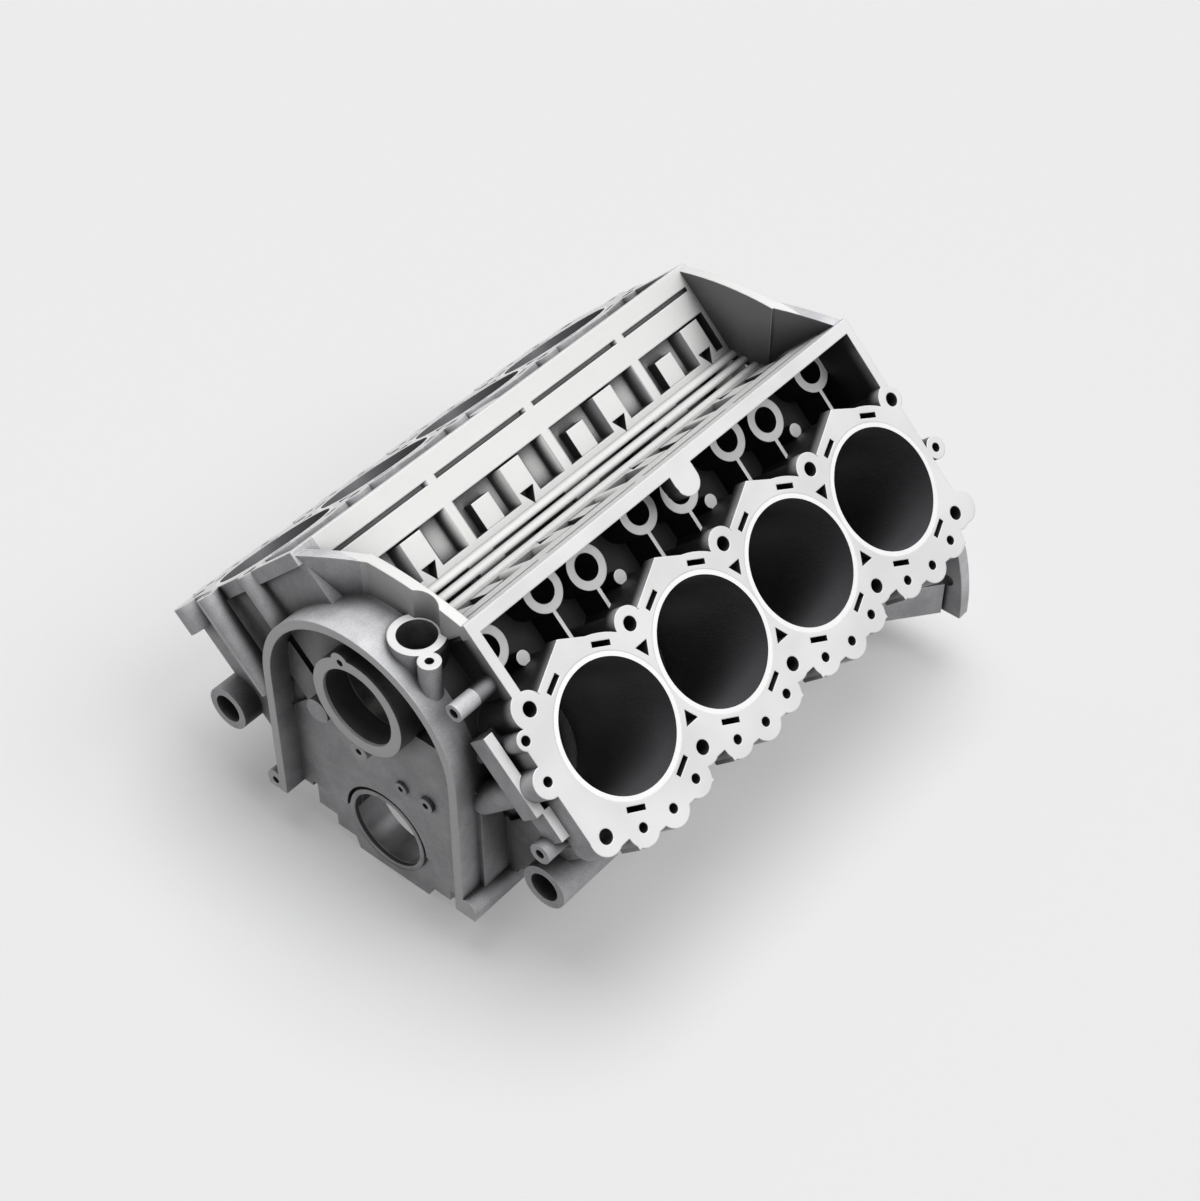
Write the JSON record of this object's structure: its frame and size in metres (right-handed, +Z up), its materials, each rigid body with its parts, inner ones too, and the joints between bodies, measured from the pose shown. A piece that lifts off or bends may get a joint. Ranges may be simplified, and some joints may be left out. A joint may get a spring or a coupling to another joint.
{
  "type": "engine block",
  "caption": "Bare aluminium V engine block with open cylinders, crankcase bulkheads and bolted main caps, standing on the caps.",
  "frame": {"origin": "the crank axis at the middle of the centre main bearing", "axes": "+X along the crank from the timing end to the flywheel end, +Z up, -Y towards the left bank"},
  "size_m": [0.54, 0.4596, 0.318],
  "materials": {
    "cast_aluminium": "sand-cast walls with bright milled faces",
    "cast_iron_liner": "honed grey iron",
    "steel_cap": "machined sintered steel",
    "bearing_metal": "plain bearing metal",
    "plated_steel": "plated steel"
  },
  "bodies": {
    "root": {"engine_block": "cast_aluminium", "left_liner_1": "cast_iron_liner", "left_liner_2": "cast_iron_liner", "left_liner_3": "cast_iron_liner", "left_liner_4": "cast_iron_liner", "right_liner_1": "cast_iron_liner", "right_liner_2": "cast_iron_liner", "right_liner_3": "cast_iron_liner", "right_liner_4": "cast_iron_liner", "main_cap_1": "steel_cap", "main_cap_2": "steel_cap", "main_cap_3": "steel_cap", "main_cap_4": "steel_cap", "main_cap_5": "steel_cap", "cam_bearing_1": "bearing_metal", "cam_bearing_2": "bearing_metal", "cam_bearing_3": "bearing_metal", "cam_bearing_4": "bearing_metal", "cam_bearing_5": "bearing_metal", "inner_cap_bolts": "plated_steel", "outer_cap_bolts": "plated_steel", "oil_gallery_plug": "plated_steel", "flywheel_end_dowels": "plated_steel", "left_core_plug_1": "plated_steel", "left_core_plug_2": "plated_steel", "right_core_plug_1": "plated_steel", "right_core_plug_2": "plated_steel"}
  },
  "joints": []
}
